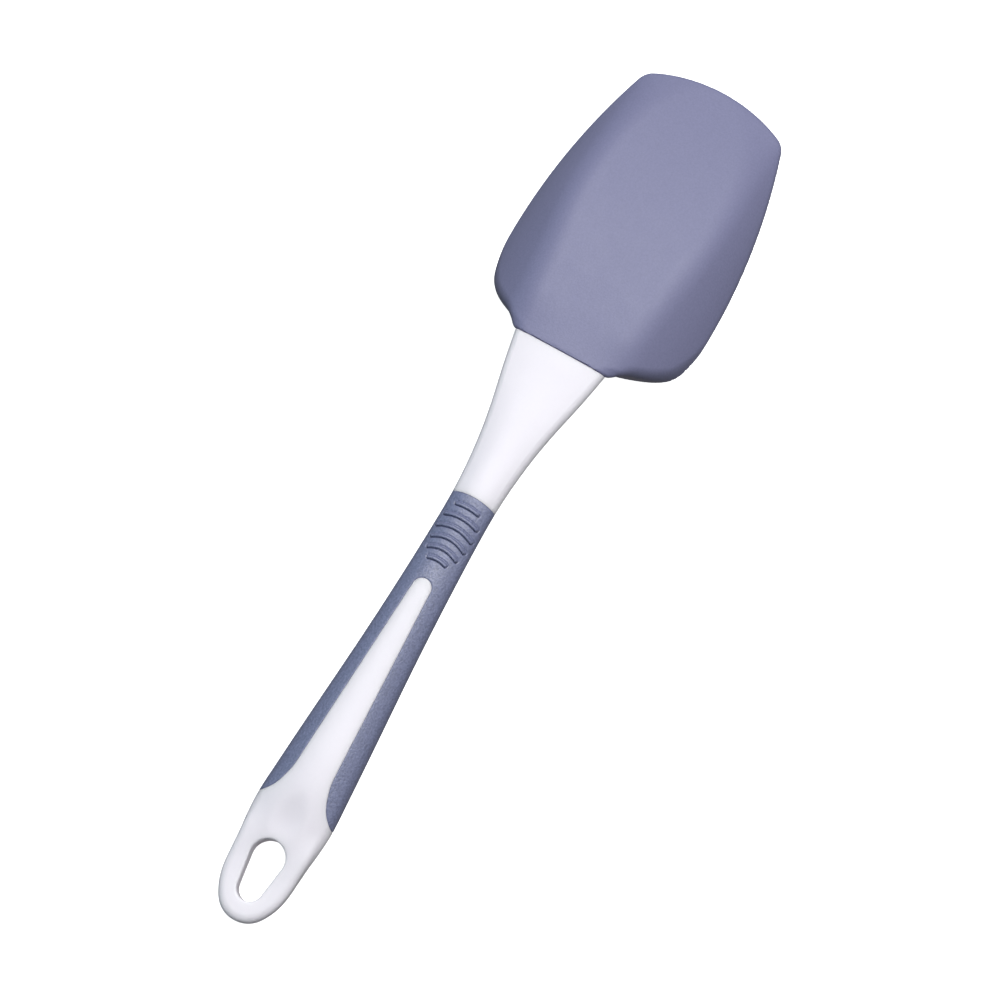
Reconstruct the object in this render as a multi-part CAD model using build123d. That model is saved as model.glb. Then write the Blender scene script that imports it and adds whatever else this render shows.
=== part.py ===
from build123d import *
import os
from math import asin, degrees, sqrt

# Silicone spoon spatula, in mm. It lies with its rounded back up: the rim of the scoop and the thickest
# part of the grip rest on the surface z = 0. +X runs along the handle towards the tip of the head, and
# the part is alike on both sides of the plane y = 0.

# Handle, along its own middle line
HANDLE_LENGTH = 194.0        # loop end to the seam between neck and head
NECK_RISE = 10.4             # how much higher the middle line lies at the seam than at the loop end
GRIP_START = 36.4            # where the soft grip begins, at the sides
GRIP_WIDTH = 25.4            # widest place, where the grip begins
GRIP_THICKNESS = 15.2        # thickest place, just past the dished area
THICKEST_SHARE = 0.14        # of the way from the grip's start to the waist
WAIST_START = 139.0          # narrowest place of the handle
WAIST_WIDTH = 14.55
WAIST_THICKNESS = 9.2
SEAM_WIDTH = 30.8            # neck where it meets the head
SEAM_THICKNESS = 6.2

# Loop
LOOP_NOSE_RADIUS = 8.7       # round end, up to LOOP_NOSE_X from it
LOOP_NOSE_X = 4.0
LOOP_WIDTH = 21.7            # across the loop, LOOP_WIDE_X from its end
LOOP_WIDE_X = 14.0
LOOP_THICKNESS = 6.4
LOOP_EDGE_RADIUS = 2.7
LOOP_SINK = 0.45             # how far the loop's sides end inside the body
BODY_START = 20.0            # where the thicker body rises out of the flat loop
BODY_START_WIDTH = 20.8      # there it still lies inside the loop
HOLE_SMALL_X = 10.55         # hanging hole: a small circle near the end and a large one behind it
HOLE_SMALL_RADIUS = 4.0
HOLE_LARGE_X = 20.7
HOLE_LARGE_RADIUS = 5.5
HOLE_BEVEL = 0.6
BEVEL_ANGLE = 45             # degrees
DISH_X = 28.7                # middle of the shallow round dish between the thick body and the loop
DISH_RADIUS = 11.0
DISH_FLOOR_HEIGHT = 4.1      # over the middle line, at the dish's middle
DISH_LIP_HEIGHT = 6.6        # at its radius
DISH_LIP_STEEPNESS_SHARE = 1.5   # slope at the lip as a share of the mean slope

# White strip along the middle of the grip, on both faces
STRIP_START = 52.5           # from here on its edges are straight
STRIP_WIDTH = 12.05
STRIP_END_WIDTH = 6.05
STRIP_END = 115.05

# Soft grip
GRIP_END = 143.15            # front edge, on the middle line
GRIP_END_BOW_RADIUS = 26.0
GRIP_SKIN = 2.0              # thickness of the soft layer
RIB_FIRST = 121.7            # rib nearest the white strip
RIB_LAST = 139.6
RIB_LONGEST = 13.3
RIB_WIDTH = 1.1
RIB_HEIGHT = 0.5
RIB_BOW_RADIUS = 9.5         # of the first rib; from there the bows flatten towards the front edge's

# Stiff core
BODY_END = 136.0             # where the handle body stops and the neck core goes on
TANG_LENGTH = 58.0
TANG_WIDTH = 7.0
TANG_THICKNESS = 3.6
TANG_CLEARANCE = 0.1
TONGUE_LENGTH = 40.0         # how far the tongue reaches into the head
TONGUE_WIDTH = 23.0
TONGUE_TIP_WIDTH = 18.0
TONGUE_ROOT_THICKNESS = 3.6
TONGUE_TIP_THICKNESS = 1.4
TONGUE_TIP_RADIUS = 5.0
TONGUE_DEPTH = 1.5           # top of the tongue's root under the top of the neck
SOCKET_CLEARANCE = 0.3
SEAM_GAP = 0.4

# Head
HEAD_LENGTH = 97.9           # seam to tip
HEAD_WIDTH = 69.2
WIDEST_X = 29.0              # widest place, from the seam
SIDE_BOW_RADIUS = 192.0      # gentle curve of the two long edges
TIP_BOW_RADIUS = 53.0        # gentle curve of the front edge
TIP_CORNER_RADIUS = 3.6
HEEL_WIDTH = 47.0            # across the nearly straight back edge
HEEL_X = 2.6                 # back edge of the rim, from the seam
HEEL_SWEEP = 4.6             # how much further forward its ends lie
HEEL_LEAN = 2.4              # how much further back the heel wall stands at the height of the neck
CREASE_RADIUS = 9.0          # rounding between the flat back and the sides
SOCKET_ROOF = 2.0            # silicone over the tongue's socket and under it
RIM_THICKNESS = 1.5
RIM_LAND = 0.9               # upright edge above the rim, before the side slopes
TIP_THICKNESS = 1.6
HEEL_WALL = 2.4
CAVITY_CREASE_RADIUS = 9.0
COLLAR_LENGTH = 7.0          # over which the neck's section flares out into the head
COLLAR_END_WIDTH = 42.0

OVERRUN = 8.0                # how far cutting bodies reach past what they cut

half_grip = GRIP_WIDTH / 2
half_waist = WAIST_WIDTH / 2
half_seam = SEAM_WIDTH / 2
half_loop = LOOP_THICKNESS / 2


def mirrored(point):
    """The point's twin on the other side of the plane y = 0."""
    return (point[0], -point[1])


# Sections of the handle

def oval_face(half_width, half_height, side_radius):
    """A closed oval of four tangent arcs: a small one at each side, a flat one at top and bottom."""
    reach = half_width - side_radius
    crown_radius = (reach**2 + half_height**2 - side_radius**2) / (2 * (half_height - side_radius))
    drop = crown_radius - half_height
    span = sqrt(reach**2 + drop**2)
    touch_y = reach + side_radius * reach / span
    touch_z = side_radius * drop / span
    corners = [(-touch_y, touch_z), (touch_y, touch_z), (touch_y, -touch_z), (-touch_y, -touch_z)]
    middles = [(0, half_height), (half_width, 0), (0, -half_height), (-half_width, 0)]
    arcs = [ThreePointArc(corners[i], middles[i], corners[(i + 1) % 4]) for i in range(4)]
    return make_face(Wire(arcs))


# From loop to grip: share of the way, share of the widening, share of the swelling
LOOP_FORM_SHARES = [(0.0, 0.0, -0.07), (0.45, 0.78, 0.17)]
# Along the grip: share of the way from its start to the waist, share of the widening, share of the swelling
GRIP_FORM_SHARES = [(0.0, 1.0, 0.62), (0.07, 0.935, 0.92), (THICKEST_SHARE, 0.85, 1.0), (0.32, 0.62, 0.82),
                    (0.52, 0.355, 0.55), (0.72, 0.152, 0.29), (0.9, 0.028, 0.07)]
# Along the neck: share of the way from the waist to the seam, share of the widening, share of the thinning
NECK_FORM_SHARES = [(0.0, 0.0, 0.0), (0.14, 0.025, 0.14), (0.3, 0.115, 0.32), (0.48, 0.285, 0.5),
                    (0.64, 0.5, 0.68), (0.8, 0.745, 0.85), (1.0, 1.0, 1.0)]
SIDE_ROUND_SHARE = 0.72      # side radius as a share of the half thickness


def handle_stations():
    """Place, half width and half thickness of each section of the handle."""
    rows = []
    for way, widening, swelling in LOOP_FORM_SHARES:
        rows.append((BODY_START + way * (GRIP_START - BODY_START),
                     (BODY_START_WIDTH + widening * (GRIP_WIDTH - BODY_START_WIDTH)) / 2,
                     (LOOP_THICKNESS + swelling * (GRIP_THICKNESS - LOOP_THICKNESS)) / 2))
    for way, widening, swelling in GRIP_FORM_SHARES:
        rows.append((GRIP_START + way * (WAIST_START - GRIP_START),
                     half_waist + widening * (half_grip - half_waist),
                     (WAIST_THICKNESS + swelling * (GRIP_THICKNESS - WAIST_THICKNESS)) / 2))
    for way, widening, thinning in NECK_FORM_SHARES:
        rows.append((WAIST_START + way * (HANDLE_LENGTH - WAIST_START),
                     half_waist + widening * (half_seam - half_waist),
                     (WAIST_THICKNESS + thinning * (SEAM_THICKNESS - WAIST_THICKNESS)) / 2))
    return rows


def handle_form(offset_by=0.0):
    """The smooth outer form of grip and neck, grown or shrunk by offset_by."""
    faces = []
    for x, half_width, half_height in handle_stations():
        round_share = LOOP_EDGE_RADIUS / half_loop if x < GRIP_START else SIDE_ROUND_SHARE
        face = oval_face(half_width + offset_by, half_height + offset_by,
                         round_share * (half_height + offset_by))
        faces.append(Plane.YZ.offset(x) * face)
    return loft(faces)


def slab(x_from, x_to, size=GRIP_WIDTH + SEAM_WIDTH):
    """A block across the whole handle between two places along it."""
    return Pos((x_from + x_to) / 2, 0, 0) * Box(x_to - x_from, size, size)


# Loop with its hanging hole

def loop_plate():
    """The flat loop: a round end that widens into the body, with rounded edges."""
    nose = (LOOP_NOSE_X, sqrt(LOOP_NOSE_RADIUS**2 - (LOOP_NOSE_RADIUS - LOOP_NOSE_X)**2))
    nose_slope = (nose[1], LOOP_NOSE_RADIUS - nose[0])
    wide = (LOOP_WIDE_X, LOOP_WIDTH / 2)
    way, widening, _ = LOOP_FORM_SHARES[-1]
    end = (BODY_START + way * (GRIP_START - BODY_START),
           BODY_START_WIDTH / 2 + widening * (half_grip - BODY_START_WIDTH / 2) - LOOP_SINK)
    side_slope = (end[0] - wide[0], end[1] - wide[1])
    outline = make_face(Wire([
        Line(end, wide),
        Spline(wide, nose, tangents=[(-side_slope[0], -side_slope[1]), (-nose_slope[0], -nose_slope[1])]),
        ThreePointArc(nose, (0, 0), mirrored(nose)),
        Spline(mirrored(nose), mirrored(wide), tangents=[mirrored(nose_slope), mirrored(side_slope)]),
        Line(mirrored(wide), mirrored(end)),
        Line(mirrored(end), end),
    ]))
    plate = extrude(outline, half_loop, both=True)
    plate = fillet(plate.edges().filter_by(Axis.Z, reverse=True).filter_by(
        lambda edge: edge.center().X < BODY_START), LOOP_EDGE_RADIUS)
    return plate


def hanging_hole():
    """The egg-shaped hole with bevelled edges, as the body that is cut away."""
    rounds = Sketch() + [Pos(HOLE_SMALL_X, 0) * Circle(HOLE_SMALL_RADIUS),
                         Pos(HOLE_LARGE_X, 0) * Circle(HOLE_LARGE_RADIUS)]
    egg = make_hull(rounds.edges())
    mouth = Pos(0, 0, half_loop - HOLE_BEVEL) * extrude(egg, OVERRUN / 2, taper=-BEVEL_ANGLE)
    return extrude(egg, GRIP_THICKNESS, both=True) + mouth + mirror(mouth, Plane.XY)


def dish():
    """What is cut from the top: a shallow bowl that rises from the loop's height to the body's."""
    rise = GRIP_THICKNESS - half_loop
    middle = (0, DISH_FLOOR_HEIGHT)
    lip = (DISH_RADIUS, DISH_LIP_HEIGHT)
    steepness = DISH_LIP_STEEPNESS_SHARE * (DISH_LIP_HEIGHT - DISH_FLOOR_HEIGHT) / DISH_RADIUS
    top = (DISH_RADIUS + OVERRUN, DISH_LIP_HEIGHT + steepness * OVERRUN)
    wire = Wire([
        Spline(middle, lip, tangents=[(1, 0), (1, steepness)]),
        Line(lip, top),
        Line(top, (top[0], rise)),
        Line((top[0], rise), (0, rise)),
        Line((0, rise), middle),
    ])
    return Pos(DISH_X, 0, 0) * revolve(Plane.XZ * make_face(wire), Axis.Z)


# White strip

def strip_region():
    """Everything that stays white behind and between the two sides of the grip, seen from above."""
    half_end = STRIP_END_WIDTH / 2
    straight_end = STRIP_END - half_end
    # share of the way from the grip's start to the straight edges, share of the flare
    flare_shares = [(0.0, 1.0), (0.2, 0.52), (0.47, 0.21), (0.73, 0.05)]
    half_strip = STRIP_WIDTH / 2
    outer = (GRIP_START - OVERRUN / 4, half_grip + OVERRUN / 3)
    points = [outer]
    for way, flare in flare_shares:
        points.append((GRIP_START + way * (STRIP_START - GRIP_START),
                       half_strip + flare * (half_grip - half_strip)))
    points.append((STRIP_START, half_strip))
    lower = [mirrored(point) for point in reversed(points)]
    behind = GRIP_START - OVERRUN
    slope = ((straight_end - STRIP_START), (half_end - half_strip))
    wire = Wire([
        Spline(points, tangents=[(points[1][0] - outer[0], points[1][1] - outer[1]), slope]),
        Line(points[-1], (straight_end, half_end)),
        ThreePointArc((straight_end, half_end), (STRIP_END, 0), (straight_end, -half_end)),
        Line((straight_end, -half_end), lower[0]),
        Spline(lower, tangents=[(-slope[0], slope[1]), (outer[0] - points[1][0], points[1][1] - outer[1])]),
        Line(lower[-1], (behind, -outer[1])),
        Line((behind, -outer[1]), (behind, outer[1])),
        Line((behind, outer[1]), outer),
    ])
    return extrude(make_face(wire), GRIP_THICKNESS, both=True)


# Grip

def grip_zone():
    """Along the handle, all that lies behind the grip's bowed front edge."""
    start = GRIP_START - OVERRUN
    middle = GRIP_END - GRIP_END_BOW_RADIUS
    block = slab(start, middle, 2 * GRIP_END_BOW_RADIUS)
    wide_block = slab(start, STRIP_END, 2 * GRIP_WIDTH)
    nose = Pos(middle, 0, 0) * Cylinder(GRIP_END_BOW_RADIUS, 2 * GRIP_END_BOW_RADIUS)
    return block + wide_block + nose


# Evenly spaced ribs from the strip to the neck, each as a share of the longest
RIB_LENGTH_SHARES = [0.53, 0.83, 0.96, 1.0, 0.91, 0.64]


def rib_bodies():
    """Six bowed bars that stand right through the handle, before they are trimmed to their height."""
    bars = []
    for i, length in enumerate(RIB_LENGTH_SHARES):
        x = RIB_FIRST + i / (len(RIB_LENGTH_SHARES) - 1) * (RIB_LAST - RIB_FIRST)
        flattening = ((x - RIB_FIRST) / (GRIP_END - RIB_FIRST))**2
        bow_radius = RIB_BOW_RADIUS + flattening * (GRIP_END_BOW_RADIUS - RIB_BOW_RADIUS)
        half_angle = degrees((length * RIB_LONGEST - RIB_WIDTH) / 2 / bow_radius)
        arc = CenterArc((x - bow_radius, 0), bow_radius, -half_angle, 2 * half_angle)
        bars.append(extrude(SlotArc(arc, RIB_WIDTH), GRIP_THICKNESS, both=True))
    return bars


def soft_grip_solid(form, core):
    """The soft layer between the outer form and the core, open along the strip, with its ribs."""
    zone = grip_zone()
    grip = form & zone
    proud = handle_form(RIB_HEIGHT) & slab(RIB_FIRST - OVERRUN, GRIP_END)
    for bar in rib_bodies():
        grip += bar & proud
    return grip - core - strip_region()


# Tang of the neck core, inside the handle body

def tang_bar(grow=0.0):
    """The tang, or with grow its pocket, from its far end to just inside the neck core."""
    start = BODY_END - TANG_LENGTH - grow
    end = BODY_END + GRIP_SKIN
    return Pos((start + end) / 2, 0, 0) * Box(end - start, TANG_WIDTH + 2 * grow, TANG_THICKNESS + 2 * grow)


# Head, seen from above

def head_outline(inset=0.0, heel_inset=0.0):
    """The rim seen from above, in from its edge by inset, and by heel_inset at the back edge."""
    half_head = HEAD_WIDTH / 2 - inset
    side_radius = SIDE_BOW_RADIUS - inset
    tip_radius = TIP_BOW_RADIUS - inset
    widest = seam_x + WIDEST_X
    tip = seam_x + HEAD_LENGTH - inset
    heel_x = seam_x + HEEL_X + heel_inset
    heel_end = (heel_x + HEEL_SWEEP, HEEL_WIDTH / 2 - heel_inset)
    corner_x = where_side_meets_tip(widest, half_head, side_radius, tip, tip_radius)
    corner = (corner_x, side_half_width(corner_x, widest, half_head, side_radius))
    shoulder_shares = [(0.16, 0.565), (0.45, 0.895)]
    shoulder = [heel_end]
    for way, widening in shoulder_shares:
        shoulder.append((heel_end[0] + way * (widest - heel_end[0]),
                         heel_end[1] + widening * (half_head - heel_end[1])))
    shoulder.append((widest, half_head))
    middle_x = (widest + corner_x) / 2
    side_middle = (middle_x, side_half_width(middle_x, widest, half_head, side_radius))
    heel_slope = (2 * HEEL_SWEEP, heel_end[1])
    upper = Wire([
        ThreePointArc(mirrored(heel_end), (heel_x, 0), heel_end),
        Spline(shoulder, tangents=[heel_slope, (1, 0)]),
        ThreePointArc((widest, half_head), side_middle, corner),
        ThreePointArc(corner, (tip, 0), mirrored(corner)),
        ThreePointArc(mirrored(corner), mirrored(side_middle), (widest, -half_head)),
        Spline([mirrored(point) for point in reversed(shoulder)],
               tangents=[(-1, 0), (-heel_slope[0], heel_slope[1])]),
    ])
    face = make_face(upper)
    corners = face.vertices().filter_by(lambda vertex: abs(vertex.X - corner_x) < TIP_THICKNESS)
    return fillet(corners, TIP_CORNER_RADIUS - inset)


def side_half_width(x, widest, half_head, side_radius):
    """Half width of the head's long edges at x: an arc that is widest at widest."""
    return half_head - side_radius + sqrt(side_radius**2 - (x - widest)**2)


def where_side_meets_tip(widest, half_head, side_radius, tip, tip_radius):
    """The place where the long edge reaches the bowed front edge, by halving the interval."""
    low, high = widest, tip
    while high - low > TIP_THICKNESS / 10000:
        x = (low + high) / 2
        y = side_half_width(x, widest, half_head, side_radius)
        if (tip - tip_radius - x)**2 + y**2 < tip_radius**2 or x < tip - tip_radius:
            low = x
        else:
            high = x
    return low


# Head, seen from the side and from behind. For each section: share of the head's length, share of the
# height from tip edge to neck top, share of the width that is flat, share of the socket's depth
# that is solid
HEAD_FORM_SHARES = [(-0.06, 1.0, 0.48, 1.0), (0.1, 0.993, 0.52, 1.0), (0.28, 0.945, 0.56, 0.9),
                    (0.46, 0.825, 0.6, 0.68), (0.64, 0.62, 0.655, 0.42), (0.82, 0.36, 0.72, 0.26),
                    (1.04, -0.02, 0.8, 0.15)]


def head_block(cavity=False):
    """The head's body before it is trimmed to the outline: flat back, two sloping sides.
    With cavity it is the hollow under it instead, in by the wall on every side."""
    faces = []
    widest = seam_x + WIDEST_X
    socket_depth = TONGUE_DEPTH + TONGUE_ROOT_THICKNESS + SOCKET_CLEARANCE + SOCKET_ROOF
    for way, height, flat, solid in HEAD_FORM_SHARES:
        x = seam_x + way * HEAD_LENGTH
        top = TIP_THICKNESS + height * (head_top - TIP_THICKNESS)
        half_base = side_half_width(x, widest, HEAD_WIDTH / 2, SIDE_BOW_RADIUS)
        half_top = flat * half_base
        low = 0.0
        land = RIM_LAND
        crease = CREASE_RADIUS
        half_base += RIM_LAND / 3
        if cavity:
            ceiling = top - solid * socket_depth
            depth_share = ceiling / top
            slope_width = half_base - half_top
            half_base -= RIM_THICKNESS
            half_top = half_base - slope_width * depth_share
            top = ceiling
            low = -OVERRUN
            land = 0.0
            crease = CAVITY_CREASE_RADIUS * depth_share
        points = [(-half_base, low), (-half_base, land), (-half_top, top),
                  (half_top, top), (half_base, land), (half_base, low)]
        face = make_face(Polyline(points, close=True))
        creases = face.vertices().filter_by(lambda vertex: vertex.Y > top - TIP_THICKNESS / 100)
        faces.append(Plane.YZ.offset(x) * fillet(creases, crease))
    return loft(faces)


def leaning_prism(face):
    """The outline carried upwards, leaning back over the heel."""
    height = head_top + OVERRUN
    lean = HEEL_LEAN * height / seam_z
    direction = Vector(-lean, 0, height)
    return extrude(face, direction.length, dir=direction)


def tongue(grow=0.0):
    """The tapered tongue, or with grow its socket: flat underneath, so the head pulls off along +X."""
    root_top = head_top - TONGUE_DEPTH
    under = root_top - TONGUE_ROOT_THICKNESS - grow
    start = seam_x - OVERRUN
    end = seam_x + TONGUE_LENGTH + grow
    side = make_face(Polyline([
        (start, under),
        (end, under),
        (end, under + TONGUE_TIP_THICKNESS + 2 * grow),
        (seam_x, root_top + grow),
        (start, root_top + grow),
    ], close=True))
    half_root = TONGUE_WIDTH / 2 + grow
    half_tip = TONGUE_TIP_WIDTH / 2 + grow
    plan = make_face(Polyline([
        (start, -half_root), (seam_x, -half_root), (end, -half_tip),
        (end, half_tip), (seam_x, half_root), (start, half_root),
    ], close=True))
    tips = plan.vertices().filter_by(lambda vertex: vertex.X > end - SEAM_GAP)
    plan = fillet(tips, TONGUE_TIP_RADIUS + grow)
    return extrude(Plane.XZ * side, HEAD_WIDTH, both=True) & extrude(plan, 2 * head_top, both=True)


def neck_collar():
    """The neck's oval section, flaring out into the head."""
    half_height = SEAM_THICKNESS / 2
    # share of the collar's length, share of the flare
    collar_shares = [(0.0, 0.0), (0.3, 0.42), (0.65, 0.8), (1.0, 1.0)]
    faces = []
    for way, flare in collar_shares:
        half_width = half_seam + flare * (COLLAR_END_WIDTH / 2 - half_seam)
        face = oval_face(half_width, half_height, SIDE_ROUND_SHARE * half_height)
        faces.append(Plane.YZ.offset(seam_x + way * COLLAR_LENGTH) * Pos(0, seam_z) * face)
    return loft(faces)


def head_solid():
    """The silicone scoop with its collar at the neck and the socket for the tongue."""
    outer = head_block() & leaning_prism(head_outline())
    collar = neck_collar()
    cavity = head_block(cavity=True) & leaning_prism(head_outline(RIM_THICKNESS, HEEL_WALL))
    behind_seam = Pos(seam_x + SEAM_GAP / 2 - OVERRUN, 0, head_top) * Box(
        2 * OVERRUN, 2 * HEAD_WIDTH, 4 * head_top)
    return outer + collar - cavity - behind_seam - tongue(SOCKET_CLEARANCE)


# Places that follow from the sizes
pitch = degrees(asin(NECK_RISE / HANDLE_LENGTH))
rise_sine = NECK_RISE / HANDLE_LENGTH
rise_cosine = sqrt(1 - rise_sine**2)
axis_z = -(Rot(0, -pitch, 0) * handle_form()).bounding_box().min.Z
handle_place = Location((0, 0, axis_z), (0, -pitch, 0))
seam_x = HANDLE_LENGTH * rise_cosine
seam_z = axis_z + NECK_RISE
head_top = seam_z + SEAM_THICKNESS / 2
total_length = seam_x + HEAD_LENGTH
centre = Pos(-total_length / 2, 0, 0)


def build():
    form = handle_form()
    core = handle_form(-GRIP_SKIN)
    grip = soft_grip_solid(form, core)

    white = form - grip_zone() + (form & strip_region()) + (core & form)
    tang = tang_bar()
    pocket = tang_bar(TANG_CLEARANCE)

    body = white & slab(BODY_START, BODY_END)
    body += loop_plate()
    body -= dish()
    body -= mirror(dish(), Plane.XY)
    body -= hanging_hole()
    body -= pocket

    neck = white & slab(BODY_END, HANDLE_LENGTH + OVERRUN)
    neck = handle_place * (neck + tang)
    behind_seam = Pos(seam_x - SEAM_GAP / 2 - HANDLE_LENGTH / 2, 0, 0) * Box(
        HANDLE_LENGTH, 2 * HEAD_WIDTH, 4 * head_top)
    neck = (neck & behind_seam) + (tongue() & slab(seam_x - OVERRUN / 2, total_length))

    return {
        "silicone_head": head_solid(),
        "neck_core": neck,
        "handle_body": handle_place * body,
        "soft_grip": handle_place * grip,
    }


os.makedirs("parts", exist_ok=True)
for name, shape in build().items():
    export_step(centre * shape, f"parts/{name}.step")
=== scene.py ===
from math import acos, asin, atan2, cos, pi, radians, sin, sqrt

import bmesh
import bpy
import numpy as np
from mathutils import Matrix, Vector


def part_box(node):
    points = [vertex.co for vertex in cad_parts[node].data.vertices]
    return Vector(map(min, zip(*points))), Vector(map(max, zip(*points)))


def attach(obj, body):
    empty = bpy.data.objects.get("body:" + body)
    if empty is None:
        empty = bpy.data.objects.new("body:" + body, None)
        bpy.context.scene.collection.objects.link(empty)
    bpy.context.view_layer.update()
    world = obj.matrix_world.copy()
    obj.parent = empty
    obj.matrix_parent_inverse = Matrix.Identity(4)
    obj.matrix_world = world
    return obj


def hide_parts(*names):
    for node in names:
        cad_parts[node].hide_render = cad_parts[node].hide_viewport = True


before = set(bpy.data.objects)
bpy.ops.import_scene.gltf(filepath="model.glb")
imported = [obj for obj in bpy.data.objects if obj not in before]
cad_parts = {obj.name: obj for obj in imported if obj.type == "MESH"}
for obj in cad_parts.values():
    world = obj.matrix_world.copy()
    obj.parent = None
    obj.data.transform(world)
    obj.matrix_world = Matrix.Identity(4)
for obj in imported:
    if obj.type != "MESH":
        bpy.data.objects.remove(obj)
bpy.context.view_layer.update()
MM = 0.001

# Places taken from the frame, in mm
SEAM_GAP = 0.4
head_low, head_high = [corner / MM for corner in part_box("silicone_head")]
seam_row_x = head_low.x - SEAM_GAP / 2
head_length = head_high.x - seam_row_x
half_head = head_high.y
head_top = head_high.z

# Handle, along its own middle line, in mm
HANDLE_LENGTH = 194.0
NECK_RISE = 10.4
SEAM_WIDTH = 30.8
SEAM_THICKNESS = 6.2
GRIP_START = 36.4
WAIST_START = 139.0
WAIST_WIDTH = 14.55
WAIST_THICKNESS = 9.2
GRIP_WIDTH = 25.4
GRIP_THICKNESS = 15.2
SIDE_ROUND_SHARE = 0.72
GRIP_SKIN = 2.0
GRIP_EDGE_ROUND = 0.35
LOOP_NOSE_RADIUS = 8.7
LOOP_NOSE_INSET = 0.05       # of the rounded end from the handle's end
LOOP_THICKNESS = 6.4
LOOP_EDGE_RADIUS = 2.0       # height of the loop's rounded edge
LOOP_EDGE_REACH = 2.6        # width of it, seen from above
OVAL_START = 20.0            # from here to OVAL_END the flat loop swells into the handle's oval
OVAL_END = GRIP_START - 2.0
# Place along the handle and half width of the loop, then place and half thickness
LOOP_SIDE = [(4.0, 7.32), (8.0, 9.42), (14.0, 10.85), (OVAL_START, 11.25), (24.0, 11.62),
             (27.4, 12.15), (32.0, 12.58), (GRIP_START, 12.7), (44.0, 12.35), (52.0, 11.6)]
LOOP_RISE = [(0.0, LOOP_THICKNESS / 2), (15.0, LOOP_THICKNESS / 2), (21.0, 3.6), (28.0, 4.8), (GRIP_START, 6.5)]
HOLE_SMALL_X = 10.55
HOLE_SMALL_RADIUS = 4.0
HOLE_LARGE_X = 20.7
HOLE_LARGE_RADIUS = 5.5
HOLE_ROUND = 0.6
DISH_X = 28.7
# Distance from the dish's middle and height over the handle's middle line
DISH_RISE = [(0.0, 4.75), (4.0, 5.05), (8.0, 5.85), (11.0, 6.7), (19.0, 9.0)]
DISH_BLEND = 0.5
WHITE_EDGE_ROUND = 0.12
BODY_END = 136.0
TANG_LENGTH = 58.0
TANG_WIDTH = 7.0
TANG_THICKNESS = 3.6
TANG_CLEARANCE = 0.1
STRIP_START = 52.5
STRIP_WIDTH = 12.05
STRIP_END_WIDTH = 6.05
STRIP_END = 115.05
STRIP_SLANT = 2.5            # how slanted the strip's edges run where it is widest
STRIP_SLANT_POWER = 4
GRIP_END = 143.15
GRIP_END_BOW_RADIUS = 26.0
GRIP_HIDDEN_LENGTH = 3.0     # how far the grip's body may reach behind GRIP_START
RIB_FIRST = 121.7
RIB_LAST = 139.6
RIB_LONGEST = 13.3
RIB_BACK = 0.5               # from its crest to its steep foot, towards the loop
RIB_FRONT = 0.75             # from its crest to its front foot
RIB_CREST_OFFSET = -0.2      # of the crest from the rib's place
RIB_HEIGHT = 0.7
RIB_GROOVE = 0.2             # depth of the fine groove along its foot
RIB_GROOVE_SHARE = 1.2       # its middle, as a share of the way from crest to foot
RIB_GROOVE_SOFTNESS = 0.3
RIB_BOW_RADIUS = 9.5
RIB_LENGTH_SHARES = [0.53, 0.83, 0.96, 1.0, 0.91, 0.64]
RIB_INFLUENCE = 2.0          # how many times its own width a rib's groove reaches

# Head, in mm
WIDEST_X = 29.0
SIDE_BOW_RADIUS = 195.0
TIP_BOW_RADIUS = 53.0
TIP_CORNER_RADIUS = 6.3
HEEL_WIDTH = 47.0
HEEL_X = 2.6
HEEL_SWEEP = 4.6
HEEL_LEAN = 2.4
RIM_THICKNESS = 1.5
RIM_LAND = 0.9
TIP_THICKNESS = 1.6
HEEL_WALL = 2.4
CREASE_BLEND = 3.6           # over which the flat back goes over into the sides
SIDE_BULGE = 1.1             # how far the sloping sides stand out from a flat slope
SHOULDER_ROUND = 3.4
SHOULDER_END = 27.0          # from the seam, where the shoulder's rounded edge has thinned out
EDGE_ROUND = 0.6
RIM_ROUND = 0.35
NECK_BLEND = 4.0
NECK_FLARE = 2.0             # widening of the neck's end inside the head, per length
NECK_SPREAD = 8.0            # how far it widens in all
SEAM_FACE_X = 0.1            # the head's back face; the seam is closed up a little from SEAM_GAP
SEAM_ROUND = 0.3
CROWN_FADE = 14.0            # from the seam, where the neck's crowned top has gone flat
SOCKET_DEPTH = 7.4           # silicone and socket together, at the neck
TONGUE_LENGTH = 40.0
TONGUE_WIDTH = 23.0
TONGUE_TIP_WIDTH = 18.0
TONGUE_ROOT_THICKNESS = 3.6
TONGUE_TIP_THICKNESS = 1.4
TONGUE_TIP_RADIUS = 5.0
TONGUE_DEPTH = 1.5
TONGUE_TIP_POINTS = 8
SOCKET_CLEARANCE = 0.3
SOCKET_OVERRUN = 4.0         # how far the socket's cutter stands out of the head

seam_z = head_top - SEAM_THICKNESS / 2
pitch = asin(NECK_RISE / HANDLE_LENGTH)
axis_z = seam_z - NECK_RISE
handle_row_x = seam_row_x - HANDLE_LENGTH * cos(pitch)


# Smooth curves and fields

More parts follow.
